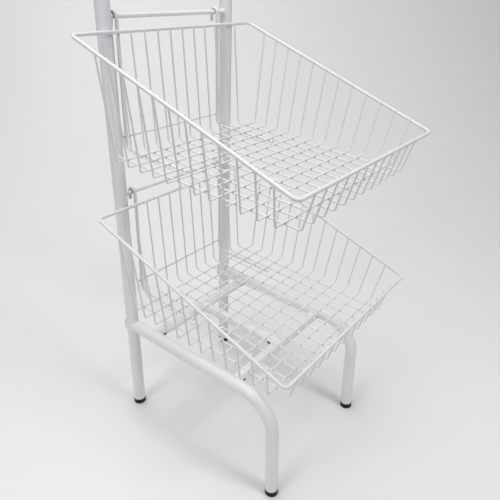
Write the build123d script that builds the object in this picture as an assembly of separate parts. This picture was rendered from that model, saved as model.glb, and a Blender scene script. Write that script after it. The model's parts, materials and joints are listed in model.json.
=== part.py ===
from build123d import *
import os
from math import asin, atan2, cos, degrees, hypot, radians, sin

# Two-tier wire basket stand: a welded tube base, two posts with hook rods, and two hook-on baskets.
# Millimetres, +Z up, the front faces -Y. The origin lies on the floor, in the middle of the whole
# object's footprint. Each sub-part is written to its own STEP file in parts/.

# ---- tubes of the stand ----
tube_od = 25.0
tube_wall = 1.2
cross_tube_od = 22.0
post_spacing = 296.0        # between the two post axes
post_top = 880.0            # end of the post tube, under its cap
leg_reach = 378.0           # from the post axis to the front foot, along the floor
side_tube_height = 218.0    # axis of the side tubes and the cross tubes
leg_bend_radius = 68.0      # to the tube's axis
leg_splay = 11.0            # the front legs lean forward by this much over their height
rear_cross_reach = 66.0     # post axis to the rear cross tube
front_cross_reach = 277.0   # post axis to the front cross tube
vent_hole_d = 7.0           # lets gas out of the closed cross tubes
vent_hole_inset = 4.5       # from the joint to the edge of the hole
vent_hole_drop = 5.0        # degrees below level
vent_notch_d = 5.0          # in the coped end of each side tube
vent_notch_turn = 38.0      # degrees from the top, towards the other post

# ---- feet and post caps ----
foot_od = 25.6
foot_height = 12.0
foot_stem_length = 20.0
foot_edge = 1.5
foot_stem_lead_in = 2.4
cap_flange = 2.5
cap_dome = 2.5
cap_stem_length = 16.0
cap_stem_wall = 2.4
push_fit = 0.1              # radial gap of a stem in a tube

# ---- bolted joint between a post and its side tube ----
bolt_d = 8.0
bolt_hole_d = 8.4
bolt_head_d = 15.0
bolt_head_height = 3.2
bolt_recess_d = 5.8         # across the corners of the hexagon socket
bolt_recess_depth = 2.0
bolt_end_reach = 32.0       # from the post axis to the bolt's tip
washer_width = 18.0
washer_height = 25.0
washer_thickness = 1.6
nut_plug_start = 14.0       # from the post axis
nut_plug_length = 22.0
thread_gap = 0.05

# ---- hook rods ----
hook_rod_d = 8.0
upper_rod_height = 814.0
lower_rod_height = 512.0
hook_gap = 0.25             # between a rod and the hook round it

# ---- baskets, measured from the hook rod (down) and from the post axis (forward) ----
rim_d = 6.0
wire_d = 3.0
hanger_d = 6.0
spacer_d = 4.0
rim_width = 424.0           # between the axes of the two side bars
rim_post_gap = 0.3          # the rim's rear bar hangs just clear of the posts
rim_back_drop = 22.0
rim_front_drop = 170.0
rim_front_reach = 430.0
rim_corner_radius = 9.0
floor_width = 371.0
floor_back_reach = 35.0
floor_back_drop = 214.5
floor_front_reach = 408.0
floor_front_drop = 232.8
wire_count = 12             # each way
long_wire_pitch = 29.3
cross_wire_pitch = 29.1
first_cross_wire_reach = 61.0
cross_wire_lean = 10.0      # forward, of the front one's upright ends; the first stands upright
back_bend_radius = 9.0
front_bend_radius = 4.5
side_bend_radius = 4.0
wire_end_rise = 1.5         # a wire's end stands this far past the middle of the rim
hanger_spread = 121.0       # from the middle of the basket to each hanger
hanger_bend_radius = 15.0
hanger_run_reach = 156.0    # front end of the hanger, under the floor
hook_tip_drop = 16.0
spacer_drop = 195.0
spacer_overhang = 4.0       # short enough to clear the posts
weld_touch = 0.02           # gap left between wires that are welded together
upper_basket_shift = -9.5   # each basket hangs a little off the middle of its rod
lower_basket_shift = -1.0   # this one nearly in the middle

# ---- values worked out from those above ----
tube_r = tube_od / 2
bore_r = tube_r - tube_wall
rim_r = rim_d / 2
wire_r = wire_d / 2
hanger_r = hanger_d / 2
front_extent = rim_front_reach + rim_r
rear_extent = tube_r + washer_thickness + bolt_head_height
post_y = (front_extent - rear_extent) / 2
post_x = post_spacing / 2
rim_back_reach = tube_r + rim_post_gap + rim_r
hanger_reach = rim_back_reach - rim_r - hanger_r - weld_touch
hook_radius = hook_rod_d / 2 + hook_gap + hanger_r
rod_y = post_y - hanger_reach + hook_radius
side_name = {-1: "left", 1: "right"}


def forward(reach):
    """The Y of a place that lies this far in front of the post axis."""
    return post_y - reach


def save(name, solids):
    """Write one sub-part, as its solids, to parts/NAME.step."""
    shape = Compound(label=name, children=list(solids))
    export_step(shape, f"parts/{name}.step")


def swept(path, radius):
    """A round bar along a path."""
    start = Plane(origin=path @ 0, z_dir=path % 0)
    return sweep(start * Circle(radius), path=path)


def bar(start, end, radius):
    """A straight round bar between two points."""
    return swept(Line(start, end), radius)


def bent_wire(points, radii, radius):
    """A round wire through corner points, with a bend radius for each inner corner."""
    return swept(FilletPolyline(*points, radius=radii), radius)


# ---- stand ----
def post(side):
    """Upright tube with the bolt's hole through both walls."""
    x = side * post_x
    tube = bar((x, post_y, foot_height), (x, post_y, post_top), tube_r)
    bore = bar((x, post_y, foot_height), (x, post_y, post_top), bore_r)
    ahead = (x, forward(tube_od), side_tube_height)
    behind = (x, forward(-tube_od), side_tube_height)
    return tube - bore - bar(behind, ahead, bolt_hole_d / 2)


def post_cylinder(side):
    """The solid space of a post, for cutting the ends of what is fixed to it."""
    x = side * post_x
    return bar((x, post_y, 0), (x, post_y, post_top), tube_r)


def leg_path(side, start_reach):
    """Axis of a side tube, from behind its joint to the floor."""
    x = side * post_x
    start = (x, forward(start_reach), side_tube_height)
    corner = (x, forward(leg_reach - leg_splay), side_tube_height)
    floor_end = (x, forward(leg_reach), 0)
    return FilletPolyline(start, corner, floor_end, radius=leg_bend_radius)


def leg_lean():
    """Turn about X that leans an upright foot along the front leg, in degrees."""
    return -degrees(atan2(leg_splay, side_tube_height))


def foot_top_cut(side):
    """Everything below the plane where a front leg's tube stops and its foot begins."""
    size = 4 * tube_od
    place = Pos(side * post_x, forward(leg_reach), 0) * Rot(X=leg_lean())
    return place * Pos(0, 0, foot_height - size / 2) * Box(size, size, size)


def side_leg(side):
    """Side tube and front leg in one bent tube, its rear end coped to the post."""
    path = leg_path(side, 0)
    tube = swept(path, tube_r) - swept(path, bore_r)
    return tube - post_cylinder(side) - foot_top_cut(side) - vent_notch(side)


def vent_notch(side):
    """A drill on the edge of a side tube's cope, high on the side that faces the other post."""
    turn = radians(vent_notch_turn)
    start = Vector(side * post_x, forward(tube_r * cos(turn)), side_tube_height)
    return bar(start, start + Vector(-side * sin(turn), 0, cos(turn)) * tube_od, vent_notch_d / 2)


def vent_hole(x, y, direction):
    """A short drill through one wall of a cross tube, at a place on its axis."""
    start = Vector(x, y, side_tube_height)
    return bar(start, start + Vector(*direction) * tube_od, vent_hole_d / 2)


def cross_tube(reach):
    """A tube between the two side tubes, with coped ends and a vent hole near each."""
    y = forward(reach)
    ends = [(side * post_x, y, side_tube_height) for side in (-1, 1)]
    tube = bar(*ends, cross_tube_od / 2) - bar(*ends, cross_tube_od / 2 - tube_wall)
    drop = radians(vent_hole_drop)
    hole_x = post_x - tube_r - vent_hole_inset - vent_hole_d / 2
    for side in (-1, 1):
        tube -= swept(leg_path(side, 0), tube_r)
        tube -= vent_hole(side * hole_x, y, (0, -cos(drop), -sin(drop)))
    return tube


def middle_tube():
    """The lengthwise tube between the middles of the two cross tubes."""
    ends = [(0, forward(reach), side_tube_height) for reach in (rear_cross_reach, front_cross_reach)]
    tube = bar(*ends, cross_tube_od / 2) - bar(*ends, cross_tube_od / 2 - tube_wall)
    for reach in (rear_cross_reach, front_cross_reach):
        line = [(side * post_x, forward(reach), side_tube_height) for side in (-1, 1)]
        tube -= bar(*line, cross_tube_od / 2)
    drop = radians(vent_hole_drop)
    hole_reach = front_cross_reach - cross_tube_od / 2 - vent_hole_inset - vent_hole_d / 2
    return tube - vent_hole(0, forward(hole_reach), (-cos(drop), 0, -sin(drop)))


def hook_rod(height):
    """A plain rod between the posts, its ends coped to them."""
    rod = bar((-post_x, rod_y, height), (post_x, rod_y, height), hook_rod_d / 2)
    return rod - post_cylinder(-1) - post_cylinder(1)


def foot(side, reach, lean):
    """Push-in rubber foot, cut flat on the floor, with its stem up the tube."""
    tread_height = foot_height + 2 * foot_edge
    tread = Pos(0, 0, foot_height - tread_height / 2) * Cylinder(foot_od / 2, tread_height)
    stem = Pos(0, 0, foot_height + foot_stem_length / 2) * Cylinder(bore_r - push_fit, foot_stem_length)
    lead_in = stem.edges().filter_by(GeomType.CIRCLE).sort_by(Axis.Z)[-1]
    body = Rot(X=lean) * (tread + chamfer(lead_in, foot_stem_lead_in))
    size = 4 * tube_od
    body -= Pos(0, 0, -size / 2) * Box(size, size, size)
    sole = body.faces().sort_by(Axis.Z)[0]
    return Pos(side * post_x, forward(reach), 0) * fillet(sole.edges(), foot_edge)


def post_cap():
    """Push-in plastic cap with a low dome, sitting on the end of a post."""
    flange = Pos(0, 0, post_top + cap_flange / 2) * Cylinder(tube_r, cap_flange)
    sphere_r = (tube_r**2 + cap_dome**2) / (2 * cap_dome)
    ball = Pos(0, 0, post_top + cap_flange + cap_dome - sphere_r) * Sphere(sphere_r)
    dome = ball & Pos(0, 0, post_top + cap_flange + cap_dome / 2) * Cylinder(tube_r, cap_dome)
    stem_r = bore_r - push_fit
    stem = Pos(0, 0, post_top - cap_stem_length / 2) * Cylinder(stem_r, cap_stem_length)
    hollow = Pos(0, 0, post_top - cap_stem_length / 2) * Cylinder(stem_r - cap_stem_wall, cap_stem_length)
    return flange + dome + (stem - hollow)


def joint_bolt(side):
    """Low-headed bolt from behind the post into the nut plug of the side tube."""
    x = side * post_x
    seat = forward(-tube_r - washer_thickness)
    shank = bar((x, seat, side_tube_height), (x, forward(bolt_end_reach), side_tube_height), bolt_d / 2)
    head = Pos(x, seat + bolt_head_height / 2, side_tube_height) * Rot(X=90)
    head *= Cylinder(bolt_head_d / 2, bolt_head_height)
    rim = head.edges().filter_by(GeomType.CIRCLE).sort_by(Axis.Y)[-1]
    head = fillet(rim, bolt_head_height / 2)
    hexagon = Plane.XZ.offset(-seat - bolt_head_height) * Pos(x, side_tube_height)
    hexagon *= RegularPolygon(bolt_recess_d / 2, 6)
    return shank + head - extrude(hexagon, bolt_recess_depth)


def saddle_washer(side):
    """Upright washer, hollow on the side that lies against the post."""
    x = side * post_x
    middle = forward(-tube_r - washer_thickness / 2)
    depth = tube_r
    block = Pos(x, middle + washer_thickness / 2 - depth / 2, side_tube_height)
    block *= Box(washer_width, depth, washer_height)
    hole = bar((x, forward(0), side_tube_height), (x, forward(-tube_od), side_tube_height), bolt_hole_d / 2)
    return block - post_cylinder(side) - hole


def nut_plug(side):
    """Threaded plug fixed inside the rear end of a side tube."""
    x = side * post_x
    start = (x, forward(nut_plug_start), side_tube_height)
    end = (x, forward(nut_plug_start + nut_plug_length), side_tube_height)
    return bar(start, end, bore_r - push_fit) - bar(start, end, bolt_d / 2 + thread_gap)


# ---- baskets ----
def beside(rim_point, corner, gap):
    """Where a wire's axis from a floor corner passes a rim bar at a distance, on the inner side.

    Both points are (outward, up) in the wire's own plane.
    """
    out, up = rim_point[0] - corner[0], rim_point[1] - corner[1]
    length = hypot(out, up)
    turn = asin(gap / length)
    along = length * cos(turn) + wire_end_rise
    angle = atan2(up, out) + turn
    return corner[0] + along * cos(angle), corner[1] + along * sin(angle)


def floor_drop(reach):
    """How far the plane between the two layers of floor wires lies below the hook rod."""
    share = (reach - floor_back_reach) / (floor_front_reach - floor_back_reach)
    return floor_back_drop + share * (floor_front_drop - floor_back_drop)


def rim_drop(reach):
    """How far the rim's axis lies below the hook rod."""
    share = (reach - rim_back_reach) / (rim_front_reach - rim_back_reach)
    return rim_back_drop + share * (rim_front_drop - rim_back_drop)


def basket_rim(middle_x, rod_height):
    """Closed rim of thick wire in a plane that slopes down to the front."""
    slope = atan2(rim_front_drop - rim_back_drop, rim_front_reach - rim_back_reach)
    length = hypot(rim_front_drop - rim_back_drop, rim_front_reach - rim_back_reach)
    reach = (rim_back_reach + rim_front_reach) / 2
    centre = (middle_x, forward(reach), rod_height - rim_drop(reach))
    plane = Plane(origin=centre, x_dir=(1, 0, 0), z_dir=(0, -sin(slope), cos(slope)))
    half_w, half_l, corner_r = rim_width / 2, length / 2, rim_corner_radius
    outline = Polyline((0, -half_l), (half_w, -half_l), (half_w, half_l), (-half_w, half_l),
                       (-half_w, -half_l), (0, -half_l))
    face = fillet(make_face(outline).vertices().filter_by(lambda v: abs(v.X) > corner_r), corner_r)
    path = plane * face.wire()
    return swept(path, rim_r)


def long_wires(middle_x, rod_height):
    """U-shaped wires from the rear wall, under the floor, to the front wall."""
    drop = [floor_back_drop + wire_r, floor_front_drop + wire_r]
    gap = rim_r + wire_r + weld_touch
    back = beside((-rim_back_reach, -rim_back_drop), (-floor_back_reach, -drop[0]), gap)
    front_wall = beside((-rim_front_reach, -rim_front_drop), (-floor_front_reach, -drop[1]), -gap)
    profile = [back, (-floor_back_reach, -drop[0]), (-floor_front_reach, -drop[1]), front_wall]
    wires = []
    for number in range(wire_count):
        x = middle_x + (number - (wire_count - 1) / 2) * long_wire_pitch
        points = [(x, post_y + out, rod_height + up) for out, up in profile]
        wires.append(bent_wire(points, [back_bend_radius, front_bend_radius], wire_r))
    return wires


def cross_wires(middle_x, rod_height):
    """U-shaped wires from the left wall, over the long wires, to the right wall."""
    gap = rim_r + wire_r + 2 * weld_touch
    wires = []
    for number in range(wire_count):
        reach = first_cross_wire_reach + number * cross_wire_pitch
        top_reach = reach + cross_wire_lean * number / (wire_count - 1)
        low = -floor_drop(reach) + wire_r + weld_touch
        out, up = beside((rim_width / 2, -rim_drop(top_reach)), (floor_width / 2, low), gap)
        ends = [(middle_x + side * out, forward(top_reach), rod_height + up) for side in (-1, 1)]
        corners = [(middle_x + side * floor_width / 2, forward(reach), rod_height + low) for side in (-1, 1)]
        points = [ends[0], *corners, ends[1]]
        wires.append(bent_wire(points, [side_bend_radius] * 2, wire_r))
    return wires


def hanger(side, middle_x, rod_height):
    """Thick wire that hooks over the rod, runs down the back and ends under the floor."""
    x = middle_x + side * hanger_spread
    under = hanger_r + weld_touch
    tip = (x, rod_y + hook_radius, rod_height - hook_tip_drop)
    tip_top = (x, rod_y + hook_radius, rod_height)
    hook_top = (x, rod_y, rod_height + hook_radius)
    leg_top = (x, rod_y - hook_radius, rod_height)
    corner = (x, forward(hanger_reach), rod_height - floor_drop(hanger_reach) - under)
    end = (x, forward(hanger_run_reach), rod_height - floor_drop(hanger_run_reach) - under)
    hook = Line(tip, tip_top) + ThreePointArc(tip_top, hook_top, leg_top)
    leg = FilletPolyline(leg_top, corner, end, radius=hanger_bend_radius)
    return swept(Wire(hook.edges() + leg.edges()), hanger_r)


def spacer_rod(middle_x, rod_height):
    """Thin rod welded behind both hangers, that keeps them square."""
    half = hanger_spread + spacer_overhang
    y = forward(hanger_reach) + hanger_r + spacer_d / 2 + weld_touch
    height = rod_height - spacer_drop
    return bar((middle_x - half, y, height), (middle_x + half, y, height), spacer_d / 2)


def write_stand():
    for side, name in side_name.items():
        x = side * post_x
        save(f"{name}_post", [post(side)])
        save(f"{name}_post_cap", [Pos(x, post_y, 0) * post_cap()])
        save(f"{name}_side_leg", [side_leg(side)])
        save(f"rear_{name}_foot", [foot(side, 0, 0)])
        save(f"front_{name}_foot", [foot(side, leg_reach, leg_lean())])
        save(f"{name}_joint_bolt", [joint_bolt(side)])
        save(f"{name}_saddle_washer", [saddle_washer(side)])
        save(f"{name}_nut_plug", [nut_plug(side)])
    save("rear_cross_tube", [cross_tube(rear_cross_reach)])
    save("front_cross_tube", [cross_tube(front_cross_reach)])
    save("middle_tube", [middle_tube()])
    save("upper_hook_rod", [hook_rod(upper_rod_height)])
    save("lower_hook_rod", [hook_rod(lower_rod_height)])


def write_basket(tier, middle_x, rod_height):
    save(f"{tier}_basket_rim", [basket_rim(middle_x, rod_height)])
    save(f"{tier}_basket_long_wires", long_wires(middle_x, rod_height))
    save(f"{tier}_basket_cross_wires", cross_wires(middle_x, rod_height))
    for side, name in side_name.items():
        save(f"{tier}_basket_{name}_hanger", [hanger(side, middle_x, rod_height)])
    save(f"{tier}_basket_spacer_rod", [spacer_rod(middle_x, rod_height)])


os.makedirs("parts", exist_ok=True)
write_stand()
write_basket("upper", upper_basket_shift, upper_rod_height)
write_basket("lower", lower_basket_shift, lower_rod_height)
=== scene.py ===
"""The looks of the wire basket stand: finishes, welds, wear, floor, light and camera, in metres."""

import json
import random
from math import cos, pi, radians, sin, sqrt, tau

import bmesh
import bpy
from mathutils import Matrix, Vector


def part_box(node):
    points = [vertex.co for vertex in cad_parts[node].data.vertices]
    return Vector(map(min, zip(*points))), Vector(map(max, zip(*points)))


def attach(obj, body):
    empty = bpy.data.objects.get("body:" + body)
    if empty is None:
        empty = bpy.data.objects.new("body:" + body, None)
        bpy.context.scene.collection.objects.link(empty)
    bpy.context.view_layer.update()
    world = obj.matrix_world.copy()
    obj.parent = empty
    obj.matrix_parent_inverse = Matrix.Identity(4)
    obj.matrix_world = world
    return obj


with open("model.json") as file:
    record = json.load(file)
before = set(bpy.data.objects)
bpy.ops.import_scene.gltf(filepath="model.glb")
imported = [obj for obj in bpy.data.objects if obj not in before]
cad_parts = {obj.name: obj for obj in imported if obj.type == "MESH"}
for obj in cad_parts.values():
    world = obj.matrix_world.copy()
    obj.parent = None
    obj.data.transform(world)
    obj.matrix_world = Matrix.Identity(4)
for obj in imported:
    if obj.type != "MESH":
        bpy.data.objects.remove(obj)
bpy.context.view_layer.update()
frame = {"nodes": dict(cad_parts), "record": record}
nodes = frame["nodes"]

MM = 0.001
TIERS = ("upper", "lower")
WIRES_EACH_WAY = 12
X_AXIS, Y_AXIS, Z_AXIS = Vector((1, 0, 0)), Vector((0, 1, 0)), Vector((0, 0, 1))

RANDOM_SEED = 11
rng = random.Random(RANDOM_SEED)


def middle(node):
    low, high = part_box(node)
    return (low + high) / 2


# ---------------------------------------------------------------- camera ----
CAMERA_AZIMUTH = radians(-52.82)      # looks from the front left
CAMERA_ELEVATION = radians(28.25)
CAMERA_ROLL = radians(2.0)
CAMERA_DISTANCE = 0.956
CAMERA_SENSOR_WIDTH = 36              # millimetres, as is the lens
CAMERA_LENS = 36.59
CAMERA_NEAREST, CAMERA_FURTHEST = 0.01, 100
CAMERA_AIM_OFFSET = Vector((-0.0264, -0.2135, -0.0227))   # from midway between the two posts


def make_camera():
    a, e = CAMERA_AZIMUTH, CAMERA_ELEVATION
    back = Vector((sin(a) * cos(e), -cos(a) * cos(e), sin(e)))
    level_right = Vector((cos(a), sin(a), 0))
    level_up = back.cross(level_right)
    right = level_right * cos(CAMERA_ROLL) + level_up * sin(CAMERA_ROLL)
    up = level_up * cos(CAMERA_ROLL) - level_right * sin(CAMERA_ROLL)
    aim = (middle("left_post") + middle("right_post")) / 2 + CAMERA_AIM_OFFSET
    data = bpy.data.cameras.new("camera")
    data.lens = CAMERA_LENS
    data.sensor_width = CAMERA_SENSOR_WIDTH
    data.clip_start = CAMERA_NEAREST
    data.clip_end = CAMERA_FURTHEST
    camera = bpy.data.objects.new("camera", data)
    turn = Matrix((right, up, back)).transposed().to_4x4()
    camera.matrix_world = Matrix.Translation(aim + back * CAMERA_DISTANCE) @ turn
    bpy.context.scene.collection.objects.link(camera)
    bpy.context.scene.camera = camera


# ------------------------------------------------------------- materials ----
MIX_FACTOR = 0                # sockets of a Mix node that is set to colours
MIX_COLOURS = (6, 7)
MIX_RESULT = 2


class Shader:
    """A new material with short calls for adding and linking its nodes."""

    def __init__(self, name):
        self.material = bpy.data.materials.new(name)
        self.material.use_nodes = True
        self.tree = self.material.node_tree
        self.tree.nodes.clear()
        self.output = self.add("ShaderNodeOutputMaterial")
        self.surface = self.add("ShaderNodeBsdfPrincipled")
        self.link(self.surface, "BSDF", self.output, "Surface")
        self.place = self.add("ShaderNodeTexCoord")

    def add(self, kind, **settings):
        node = self.tree.nodes.new(kind)
        for key, value in settings.items():
            setattr(node, key, value)
        return node

    def link(self, source, output, target, socket):
        self.tree.links.new(source.outputs[output], target.inputs[socket])

    def noise(self, size, detail=2.0, roughness=0.5, stretch=None):
        """Noise whose features are about this many metres across."""
        node = self.add("ShaderNodeTexNoise")
        node.inputs["Scale"].default_value = 1 / size
        node.inputs["Detail"].default_value = detail
        node.inputs["Roughness"].default_value = roughness
        if stretch:
            mapping = self.add("ShaderNodeMapping")
            mapping.inputs["Scale"].default_value = stretch
            self.link(self.place, "Object", mapping, "Vector")
            self.link(mapping, "Vector", node, "Vector")
        else:
            self.link(self.place, "Object", node, "Vector")
        return node

    def spots(self, size):
        """Distance from scattered points, about this many metres apart."""
        node = self.add("ShaderNodeTexVoronoi")
        node.inputs["Scale"].default_value = 1 / size
        self.link(self.place, "Object", node, "Vector")
        return node

    def remap(self, source, output, low, high, to_low, to_high):
        """A value stretched from one range to another, and kept inside it."""
        node = self.add("ShaderNodeMapRange")
        node.inputs["From Min"].default_value = low
        node.inputs["From Max"].default_value = high
        node.inputs["To Min"].default_value = to_low
        node.inputs["To Max"].default_value = to_high
        self.link(source, output, node, "Value")
        return node

    def blend(self, factor, output, first, second):
        """A colour between two: each is a colour or another node."""
        node = self.add("ShaderNodeMix", data_type="RGBA")
        for socket, colour in zip(MIX_COLOURS, (first, second)):
            if isinstance(colour, bpy.types.Node):
                self.tree.links.new(colour.outputs[MIX_RESULT], node.inputs[socket])
            else:
                node.inputs[socket].default_value = (*colour, 1)
        self.tree.links.new(factor.outputs[output], node.inputs[MIX_FACTOR])
        return node

    def colour(self, mix):
        self.tree.links.new(mix.outputs[MIX_RESULT], self.surface.inputs["Base Color"])

    def bumps(self, *layers):
        """Bump layers, each (node, output, depth in metres, strength), from the coarsest down."""
        below = None
        for source, output, depth, strength in layers:
            bump = self.add("ShaderNodeBump")
            bump.inputs["Distance"].default_value = depth
            bump.inputs["Strength"].default_value = strength
            self.link(source, output, bump, "Height")
            if below:
                self.link(below, "Normal", bump, "Normal")
            below = bump
        self.link(below, "Normal", self.surface, "Normal")


# Painted shade: the near-black that ambient occlusion mixes into bores and tight corners.
BORE_SHADE_COLOUR = (0.035, 0.033, 0.031)
SCUFF = (0.3, 0.3, 0.31)
WARMER = (1.0, 0.995, 0.985)  # times a coat's tone, where it drifts
COOLER = (0.955, 0.96, 0.97)
SPECK_DARKNESS = 0.55         # times a coat's tone
SHADE_REACH = 25 * MM          # how far ambient occlusion looks when painting shade into bores and tight corners
RUB_HALF_WIDTH = 6 * MM


def powder_coat(name, tone, peel_size, peel_depth, rubbed=()):
    """White semi-gloss powder coat: orange peel, uneven tone and gloss, tiny specks, and painted
    shade darkening bores and tight corners.

    rubbed lists the X of places where hooks have dulled the coat.
    """
    s = Shader(name)
    drift = s.noise(size=90 * MM, detail=3)
    cloud = s.remap(drift, "Fac", 0.35, 0.65, 0, 1)
    warm = [c * f for c, f in zip(tone, WARMER)]
    cool = [c * f for c, f in zip(tone, COOLER)]
    base = s.blend(cloud, "Result", cool, warm)
    speck = s.spots(size=7 * MM)
    speck_mask = s.remap(speck, "Distance", 0.028, 0.045, 0.45, 0)
    coat = s.blend(speck_mask, "Result", base, [c * SPECK_DARKNESS for c in tone])
    for x in rubbed:
        coat = s.blend(rub_mark(s, x), "Value", coat, SCUFF)
    # Painted shade: where ambient occlusion finds cover, in tube bores and tight crevices, the coat
    # turns near-black.
    occlusion = s.add("ShaderNodeAmbientOcclusion", samples=4)
    occlusion.inputs["Distance"].default_value = SHADE_REACH
    bore_shade = s.remap(occlusion, "AO", 0.02, 0.2, 1, 0)
    s.colour(s.blend(bore_shade, "Result", coat, BORE_SHADE_COLOUR))
    gloss = s.noise(size=22 * MM, detail=4)
    s.link(s.remap(gloss, "Fac", 0.3, 0.7, 0.27, 0.4), "Result", s.surface, "Roughness")
    s.surface.inputs["IOR"].default_value = 1.5
    s.surface.inputs["Coat Weight"].default_value = 0.25
    s.surface.inputs["Coat Roughness"].default_value = 0.12
    swell = s.noise(size=peel_size * 6, detail=2)
    peel = s.noise(size=peel_size, detail=1.5, roughness=0.4)
    s.bumps((swell, "Fac", peel_depth * 3, 0.5), (peel, "Fac", peel_depth, 0.55))
    return s.material


def rub_mark(s, x):
    """A streaky mask, 12 mm wide, about one X."""
    place = s.add("ShaderNodeSeparateXYZ")
    s.link(s.place, "Object", place, "Vector")
    distance = s.add("ShaderNodeMath", operation="COMPARE")
    distance.inputs[1].default_value = x
    distance.inputs[2].default_value = RUB_HALF_WIDTH
    s.link(place, "X", distance, 0)
    scratch = s.noise(size=1.2 * MM, detail=4, roughness=0.7, stretch=(2.5, 1, 1))
    streak = s.remap(scratch, "Fac", 0.5, 0.62, 0, 0.9)
    mask = s.add("ShaderNodeMath", operation="MULTIPLY")
    s.link(distance, "Value", mask, 0)
    s.link(streak, "Result", mask, 1)
    return mask


RUBBER_BLACK = (0.004, 0.004, 0.0045)
RUBBER_DUST = (0.06, 0.058, 0.055)
DUST_HEIGHT = 5 * MM


def rubber(name):
    """Black moulded rubber with a fine grain, and a trace of dust low down."""
    s = Shader(name)
    grain = s.noise(size=0.35 * MM, detail=3)
    dust = s.noise(size=6 * MM, detail=5, roughness=0.65)
    height = s.add("ShaderNodeSeparateXYZ")
    s.link(s.place, "Object", height, "Vector")
    low = s.remap(height, "Z", 0, DUST_HEIGHT, 0.15, 0.01)
    product = s.add("ShaderNodeMath", operation="MULTIPLY")
    s.link(low, "Result", product, 0)
    s.link(s.remap(dust, "Fac", 0.4, 0.7, 0, 1), "Result", product, 1)
    s.colour(s.blend(product, "Value", RUBBER_BLACK, RUBBER_DUST))
    s.link(s.remap(dust, "Fac", 0.3, 0.7, 0.42, 0.62), "Result", s.surface, "Roughness")
    s.surface.inputs["Specular IOR Level"].default_value = 0.3
    s.bumps((grain, "Fac", 0.05 * MM, 0.6))
    return s.material


def plastic(name, tone, rough):
    """Pale moulded plastic with a fine spark-eroded texture."""
    s = Shader(name)
    cloud = s.noise(size=12 * MM, detail=3)
    s.colour(s.blend(cloud, "Fac", [c * 0.94 for c in tone], tone))
    texture = s.noise(size=0.5 * MM, detail=4, roughness=0.6)
    gloss = s.remap(cloud, "Fac", 0.3, 0.7, rough - 0.06, rough + 0.06)
    s.link(gloss, "Result", s.surface, "Roughness")
    s.bumps((texture, "Fac", 0.04 * MM, 0.5))
    return s.material


ZINC_DULL = (0.42, 0.43, 0.45)
ZINC_BRIGHT = (0.68, 0.69, 0.69)


def zinc(name):
    """Bright zinc plate with faint turning marks and duller patches."""
    s = Shader(name)
    patch = s.noise(size=5 * MM, detail=4, roughness=0.6)
    s.colour(s.blend(patch, "Fac", ZINC_DULL, ZINC_BRIGHT))
    s.surface.inputs["Metallic"].default_value = 1
    s.link(s.remap(patch, "Fac", 0.3, 0.7, 0.24, 0.42), "Result", s.surface, "Roughness")
    turning = s.noise(size=0.25 * MM, detail=2, roughness=0.5, stretch=(1, 0.05, 1))
    s.bumps((turning, "Fac", 0.02 * MM, 0.4))
    return s.material


FRAME_TONE = (0.86, 0.86, 0.865)
BASKET_TONE = (0.79, 0.79, 0.795)
CROSSING_SHADE_TONE = (0.09, 0.088, 0.085)      # painted shade: near-black standing for the contact shadow where the floor wires cross
FRAME_PEEL = (1.4 * MM, 0.035 * MM)   # size and depth of the orange peel
BASKET_PEEL = (0.9 * MM, 0.025 * MM)


def make_finishes():
    return {
        "frame_coat": powder_coat("frame_powder_coat", FRAME_TONE, *FRAME_PEEL),
        "basket_coat": powder_coat("basket_powder_coat", BASKET_TONE, *BASKET_PEEL),
        # Painted shade: the crossing lumps are near-black to stand for contact shadow.
        "crossing": powder_coat("crossing_painted_shade", CROSSING_SHADE_TONE, *BASKET_PEEL),
        "foot_rubber": rubber("foot_rubber"),
        "cap_plastic": plastic("cap_plastic", (0.8, 0.8, 0.79), 0.45),
        "washer_plastic": plastic("washer_plastic", (0.8, 0.8, 0.8), 0.38),
        "zinc_steel": zinc("zinc_plate"),
    }


def rod_coat(tier):
    """The frame's coat on a hook rod, rubbed where the two hooks hang."""
    hooks = [middle(f"{tier}_basket_{side}_hanger").x for side in ("left", "right")]
    return powder_coat(f"{tier}_hook_rod_coat", FRAME_TONE, *FRAME_PEEL, hooks)


def finish_nodes():
    slots = {row["node"]: row["material_slot"] for row in frame["record"]["subparts"]}
    for name, piece in nodes.items():
        for slot in piece.material_slots:
            slot.material = finishes[slots[name]]
    for tier in TIERS:
        nodes[f"{tier}_hook_rod"].material_slots[0].material = rod_coat(tier)


# ------------------------------------------------------------ mesh pieces ----
def add_piece(name, mesh, body, slot, finish=None):
    """Turn a bmesh into a smooth piece that rides on a body, with its slot's finish or another."""
    data = bpy.data.meshes.new(name)
    mesh.to_mesh(data)
    mesh.free()
    for face in data.polygons:
        face.use_smooth = True
    data.materials.append(finishes[finish or slot])
    piece = bpy.data.objects.new(name, data)
    bpy.context.scene.collection.objects.link(piece)
    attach(piece, body)
    return piece


def tube_between_rings(mesh, rings):
    """Faces between rings of points, closed both ways round."""
    made = [[mesh.verts.new(point) for point in ring] for ring in rings]
    for i, ring in enumerate(made):
        after = made[(i + 1) % len(made)]
        for j in range(len(ring)):
            k = (j + 1) % len(ring)
            mesh.faces.new((ring[j], ring[k], after[k], after[j]))


LUMP_TURNS, LUMP_LEVELS = 12, 6
LUMP_SPREAD = (0.9, 1.12)     # a lump's size is drawn between these, times its stated size


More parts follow.
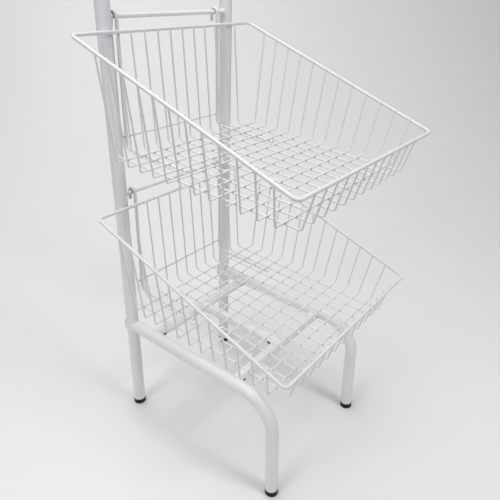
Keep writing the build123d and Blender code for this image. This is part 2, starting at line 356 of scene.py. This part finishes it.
def lump(mesh, centre, along, across, out, sizes):
    """A small rounded lump, with half sizes along three square directions."""
    turns, levels = LUMP_TURNS, LUMP_LEVELS
    size = [s * rng.uniform(*LUMP_SPREAD) for s in sizes]
    rows = []
    for level in range(1, levels):
        polar = pi * level / levels
        row = []
        for turn in range(turns):
            angle = tau * turn / turns
            offset = along * (cos(angle) * sin(polar) * size[0])
            offset += across * (sin(angle) * sin(polar) * size[1])
            offset += out * (cos(polar) * size[2])
            row.append(mesh.verts.new(centre + offset))
        rows.append(row)
    top = mesh.verts.new(centre + out * size[2])
    bottom = mesh.verts.new(centre - out * size[2])
    for turn in range(turns):
        k = (turn + 1) % turns
        mesh.faces.new((top, rows[0][turn], rows[0][k]))
        mesh.faces.new((bottom, rows[-1][k], rows[-1][turn]))
        for upper, lower in zip(rows, rows[1:]):
            mesh.faces.new((upper[turn], lower[turn], lower[k], upper[k]))


BEAD_STEPS, BEAD_SIDES = 96, 10
BEAD_FLATTENING = 1.15


def weld_ring(mesh, axis_point, direction, up, small_r, big_r, bead):
    """A rippled bead where a round bar meets a bigger round bar square on.

    axis_point is on the big bar's axis, direction runs from there along the small bar, and up is
    square to both bars.
    """
    side = direction.cross(up)
    phase = rng.uniform(0, tau)
    rings = []
    for i in range(BEAD_STEPS):
        angle = tau * i / BEAD_STEPS
        radial = up * cos(angle) + side * sin(angle)
        reach = sqrt(big_r**2 - (small_r * cos(angle)) ** 2)
        centre = axis_point + direction * reach + radial * small_r
        outward = (direction + radial).normalized()
        tangent = outward.cross(direction.cross(radial)).normalized()
        ripple = 1 + 0.12 * sin(angle * 17 + phase) + 0.07 * sin(angle * 5 + 2 * phase)
        r = bead * ripple
        rings.append([centre + outward * (cos(a) * r) + tangent * (sin(a) * r * BEAD_FLATTENING)
                      for a in (tau * k / BEAD_SIDES for k in range(BEAD_SIDES))])
    tube_between_rings(mesh, rings)


# ------------------------------------------------------------ tube welds ----
TUBE_BEAD = 1.5 * MM
ROD_BEAD = 1.1 * MM
JUST_UNDER = 0.999            # keeps a bar thinner than the equal bar that it meets


def half_thickness(node):
    """Half of a level bar's height: its radius."""
    low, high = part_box(node)
    return (high.z - low.z) / 2


def add_tube_welds():
    """Beads where the cross tubes, the middle tube and the hook rods are welded on."""
    posts = {-1: middle("left_post"), 1: middle("right_post")}
    low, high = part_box("left_post")
    post_r = (high.x - low.x) / 2
    for name in ("rear_cross_tube", "front_cross_tube"):
        tube = middle(name)
        mesh = bmesh.new()
        for side, post in posts.items():
            start = Vector((post.x, tube.y, tube.z))
            weld_ring(mesh, start, -side * X_AXIS, Z_AXIS, half_thickness(name), post_r, TUBE_BEAD)
        add_piece(f"{name}_welds", mesh, "stand", "frame_coat")
    mesh = bmesh.new()
    tube_r = half_thickness("middle_tube")
    for name, way in (("rear_cross_tube", -1), ("front_cross_tube", 1)):
        weld_ring(mesh, middle(name), way * Y_AXIS, Z_AXIS, tube_r * JUST_UNDER, tube_r, TUBE_BEAD)
    add_piece("middle_tube_welds", mesh, "stand", "frame_coat")
    for tier in TIERS:
        rod = middle(f"{tier}_hook_rod")
        rod_r = half_thickness(f"{tier}_hook_rod")
        mesh = bmesh.new()
        for side, post in posts.items():
            offset = rod.y - post.y
            reach = sqrt(post_r**2 - offset**2)
            start = Vector((post.x, rod.y, rod.z))
            weld_ring(mesh, start, -side * X_AXIS, Y_AXIS, rod_r, reach, ROD_BEAD)
        add_piece(f"{tier}_hook_rod_welds", mesh, "stand", "frame_coat")


# ----------------------------------------------------------- basket welds ----
RIM_R = 3 * MM
WIRE_R = 1.5 * MM
SPACER_R = 2 * MM
WIRE_END_RISE = 1.5 * MM      # a wire's end stands this far past the middle of the rim bar
END_ZONE = 12 * MM            # how far in from its furthest point a wire's end is looked for
END_DEPTH = 2 * MM            # how far down from its highest point the end reaches

# Half sizes of the fillets, along, across and out, as lump takes them.
RIM_FILLET = (2.1 * MM, 2.3 * MM, 1.0 * MM)
CROSSING_FILLET = (1.0 * MM, 2.1 * MM, 0.7 * MM)
HANGER_FLOOR_FILLET = (1.9 * MM, 1.4 * MM, 0.7 * MM)
HANGER_RIM_FILLET = (2.6 * MM, 2.6 * MM, 1.1 * MM)
HANGER_SPACER_FILLET = (2.2 * MM, 2.0 * MM, 0.9 * MM)


def wires_of(node, axis):
    """For each parallel wire of a node: its place along the axis across them, and its points.

    A leaning wire's place is that of its welded ends.
    """
    low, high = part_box(node)
    first, last = low[axis] + WIRE_R, high[axis] - WIRE_R
    pitch = (last - first) / (WIRES_EACH_WAY - 1)
    groups = [[] for _ in range(WIRES_EACH_WAY)]
    for vertex in nodes[node].data.vertices:
        groups[round((vertex.co[axis] - first) / pitch)].append(vertex.co.copy())
    return [(first + i * pitch, points) for i, points in enumerate(groups)]


def rim_axis(tier):
    """Places of the rim bars' axes: left x, right x, front y, rear y, and a function height(y)."""
    low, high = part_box(f"{tier}_basket_rim")
    front, rear = low.y + RIM_R, high.y - RIM_R
    slope = (high.z - low.z - 2 * RIM_R) / (rear - front)

    def height(y):
        return low.z + RIM_R + (y - front) * slope

    return low.x + RIM_R, high.x - RIM_R, front, rear, height


def top_end(points, outward):
    """The middle of a wire's end on the outward side, from its mesh."""
    furthest = max(p.dot(outward) for p in points)
    wall = [p for p in points if p.dot(outward) > furthest - END_ZONE]
    highest = max(p.z for p in wall)
    end = [p for p in wall if p.z > highest - END_DEPTH]
    return sum(end, Vector()) / len(end)


def floor_line(points):
    """The Y of a crosswise wire's level stretch, and the height of its underside."""
    bottom = min(p.z for p in points)
    level = [p.y for p in points if p.z < bottom + WIRE_R]
    return (min(level) + max(level)) / 2, bottom


def add_rim_welds(tier):
    """Small fillets of coating where each wire is welded to the inside of the rim."""
    left, right, front, rear, height = rim_axis(tier)
    mesh = bmesh.new()
    for x, points in wires_of(f"{tier}_basket_long_wires", 0):
        for y, outward in ((front, -Y_AXIS), (rear, Y_AXIS)):
            bar = Vector((x, y, height(y)))
            weld_to_bar(mesh, bar, top_end(points, outward), X_AXIS)
    for y, points in wires_of(f"{tier}_basket_cross_wires", 1):
        for x, outward in ((left, -X_AXIS), (right, X_AXIS)):
            bar = Vector((x, y, height(y)))
            weld_to_bar(mesh, bar, top_end(points, outward), Y_AXIS)
    add_piece(f"{tier}_basket_rim_welds", mesh, f"{tier}_basket", "basket_coat")


def weld_to_bar(mesh, bar, end, along):
    """One fillet between a rim bar and a wire's end beside it."""
    out = end - bar
    out -= along * out.dot(along)
    out.z -= WIRE_END_RISE
    out.normalize()
    lump(mesh, bar + out * RIM_R, along, out.cross(along), out, RIM_FILLET)


def add_floor_welds(tier):
    """Tiny fillets where the floor wires cross, painted near-black as shade, and on the hangers at
    the wires, rim and spacer.
    """
    mesh = bmesh.new()
    along, across, up = X_AXIS, Y_AXIS, Z_AXIS
    long_wires = wires_of(f"{tier}_basket_long_wires", 0)
    cross_wires = [floor_line(points) for _, points in wires_of(f"{tier}_basket_cross_wires", 1)]
    for y, bottom in cross_wires:
        for x, _ in long_wires:
            lump(mesh, Vector((x, y, bottom)), along, across, up, CROSSING_FILLET)
    # Painted shade: the crossing fillets take the near-black crossing finish.
    add_piece(f"{tier}_basket_floor_shaded_welds", mesh, f"{tier}_basket", "basket_coat", "crossing")
    mesh = bmesh.new()
    spacer = middle(f"{tier}_basket_spacer_rod")
    _, _, _, rear, height = rim_axis(tier)
    for side in ("left", "right"):
        low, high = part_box(f"{tier}_basket_{side}_hanger")
        x = (low.x + high.x) / 2
        for y, bottom in cross_wires:
            if y > low.y + WIRE_R:
                lump(mesh, Vector((x, y, bottom)), along, across, up, HANGER_FLOOR_FILLET)
        at_rim = Vector((x, rear + RIM_R, height(rear)))
        lump(mesh, at_rim, along, up, across, HANGER_RIM_FILLET)
        at_spacer = Vector((x, spacer.y - SPACER_R, spacer.z))
        lump(mesh, at_spacer, along, up, across, HANGER_SPACER_FILLET)
    add_piece(f"{tier}_basket_hanger_welds", mesh, f"{tier}_basket", "basket_coat")


# ---------------------------------------------------------- floor, lights ----
SWEEP_FRONT, SWEEP_BACK = -1.0, 2.7   # along the camera's view
SWEEP_BEND = 2.2                      # radius between floor and wall
SWEEP_TOP = 3.2
SWEEP_HALF_WIDTH = 1.7
SWEEP_STEPS = 24
SWEEP_TONES = (0.8, 0.8, 0.805), (0.83, 0.83, 0.83)


def make_floor():
    """A pale studio sweep: floor, curved corner and back wall in one sheet."""
    back, bend, half = SWEEP_BACK, SWEEP_BEND, SWEEP_HALF_WIDTH
    profile = [Vector((0, SWEEP_FRONT, 0))]
    for i in range(SWEEP_STEPS + 1):
        angle = pi / 2 * i / SWEEP_STEPS
        profile.append(Vector((0, back - bend + bend * sin(angle), bend - bend * cos(angle))))
    profile.append(Vector((0, back, SWEEP_TOP)))
    mesh = bmesh.new()
    rows = [[mesh.verts.new(p + Vector((x, 0, 0))) for p in profile] for x in (-half, half)]
    for i in range(len(profile) - 1):
        mesh.faces.new((rows[0][i], rows[1][i], rows[1][i + 1], rows[0][i + 1]))
    data = bpy.data.meshes.new("studio_sweep")
    mesh.to_mesh(data)
    mesh.free()
    for face in data.polygons:
        face.use_smooth = True
    s = Shader("studio_sweep")
    cloud = s.noise(size=0.8, detail=2)
    s.colour(s.blend(cloud, "Fac", *SWEEP_TONES))
    s.surface.inputs["Roughness"].default_value = 0.6
    data.materials.append(s.material)
    floor = bpy.data.objects.new("studio_sweep", data)
    floor.rotation_euler.z = CAMERA_AZIMUTH
    bpy.context.scene.collection.objects.link(floor)


OBJECT_AIM = Vector((0, 0, 0.35))
BACKDROP_AIM = Vector((1.2, 2.0, 0.7))
# Name, aim, azimuth and elevation in degrees, distance and size in metres, power in watts.
SOFTBOXES = (
    ("front_softbox", OBJECT_AIM, 4, 52, 2.6, 0.6, 20),
    ("left_softbox", OBJECT_AIM, -95, 34, 2.6, 0.9, 14),
    ("overhead_softbox", OBJECT_AIM, -127, 80, 2.6, 1.6, 36),
    ("backdrop_softbox", BACKDROP_AIM, -60, 60, 1.8, 1.0, 10),
)
WORLD_COLOUR = (0.9, 0.92, 0.95, 1)
WORLD_STRENGTH = 0.25


def add_light(name, aim, azimuth, elevation, distance, size, power):
    """A square softbox that faces its aim. Azimuth 0 is in front, 90 on the object's right."""
    a, e = radians(azimuth), radians(elevation)
    away = Vector((sin(a) * cos(e), -cos(a) * cos(e), sin(e)))
    data = bpy.data.lights.new(name, "AREA")
    data.shape = "SQUARE"
    data.size = size
    data.energy = power
    light = bpy.data.objects.new(name, data)
    light.location = aim + away * distance
    light.rotation_mode = "QUATERNION"
    light.rotation_quaternion = away.to_track_quat("Z", "Y")
    bpy.context.scene.collection.objects.link(light)


def make_lights():
    for softbox in SOFTBOXES:
        add_light(*softbox)
    world = bpy.data.worlds.new("studio")
    world.use_nodes = True
    background = world.node_tree.nodes["Background"]
    background.inputs["Color"].default_value = WORLD_COLOUR
    background.inputs["Strength"].default_value = WORLD_STRENGTH
    bpy.context.scene.world = world


bpy.context.scene.view_settings.view_transform = "Standard"
make_camera()
make_floor()
make_lights()
finishes = make_finishes()
finish_nodes()
add_tube_welds()
for tier in TIERS:
    add_rim_welds(tier)
    add_floor_welds(tier)
